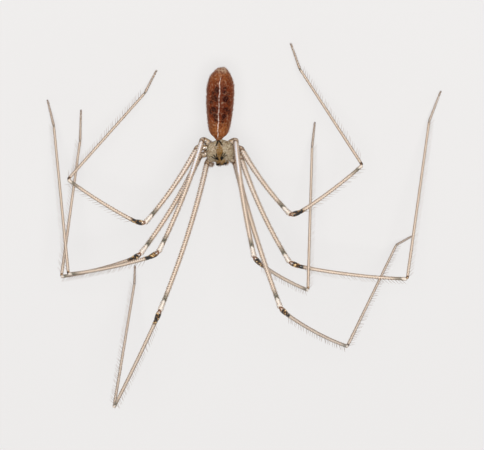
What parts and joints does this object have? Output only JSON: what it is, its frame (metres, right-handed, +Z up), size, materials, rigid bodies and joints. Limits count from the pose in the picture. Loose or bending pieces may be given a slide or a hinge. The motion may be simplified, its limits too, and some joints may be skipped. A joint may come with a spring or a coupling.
{
  "type": "cellar spider",
  "caption": "Life-size still model of a long-bodied cellar spider with thin arched legs, standing on its feet.",
  "frame": {"origin": "on the floor, below the middle of the legs' spread", "axes": "+Z up, the head faces -Y, the animal's left side is at +X"},
  "size_m": [0.0318, 0.0256, 0.0231],
  "materials": {
    "carapace": "greenish grey beige cuticle with a brown middle band and dark marks",
    "abdomen": "reddish brown translucent skin with a pale middle line and dark blotches",
    "amber": "amber cuticle of the mouthparts and spinnerets",
    "femur": "pinkish, glassy cuticle with a dark band near the knee",
    "patella": "black and olive knee",
    "shin": "beige cuticle with fine dark hairs",
    "foot": "grey brown cuticle"
  },
  "bodies": {
    "root": {"abdomen": "abdomen", "chelicera_left": "amber", "chelicera_right": "amber", "leg_1_left_femur": "femur", "leg_1_left_metatarsus": "shin", "leg_1_left_patella": "patella", "leg_1_left_tarsus": "foot", "leg_1_left_tibia": "shin", "leg_1_right_femur": "femur", "leg_1_right_metatarsus": "shin", "leg_1_right_patella": "patella", "leg_1_right_tarsus": "foot", "leg_1_right_tibia": "shin", "leg_2_left_femur": "femur", "leg_2_left_metatarsus": "shin", "leg_2_left_patella": "patella", "leg_2_left_tarsus": "foot", "leg_2_left_tibia": "shin", "leg_2_right_femur": "femur", "leg_2_right_metatarsus": "shin", "leg_2_right_patella": "patella", "leg_2_right_tarsus": "foot", "leg_2_right_tibia": "shin", "leg_3_left_femur": "femur", "leg_3_left_metatarsus": "shin", "leg_3_left_patella": "patella", "leg_3_left_tarsus": "foot", "leg_3_left_tibia": "shin", "leg_3_right_femur": "femur", "leg_3_right_metatarsus": "shin", "leg_3_right_patella": "patella", "leg_3_right_tarsus": "foot", "leg_3_right_tibia": "shin", "leg_4_left_femur": "femur", "leg_4_left_metatarsus": "shin", "leg_4_left_patella": "patella", "leg_4_left_tarsus": "foot", "leg_4_left_tibia": "shin", "leg_4_right_femur": "femur", "leg_4_right_metatarsus": "shin", "leg_4_right_patella": "patella", "leg_4_right_tarsus": "foot", "leg_4_right_tibia": "shin", "palp_left": "shin", "palp_right": "shin", "prosoma": "carapace", "spinnerets": "amber"}
  },
  "joints": []
}
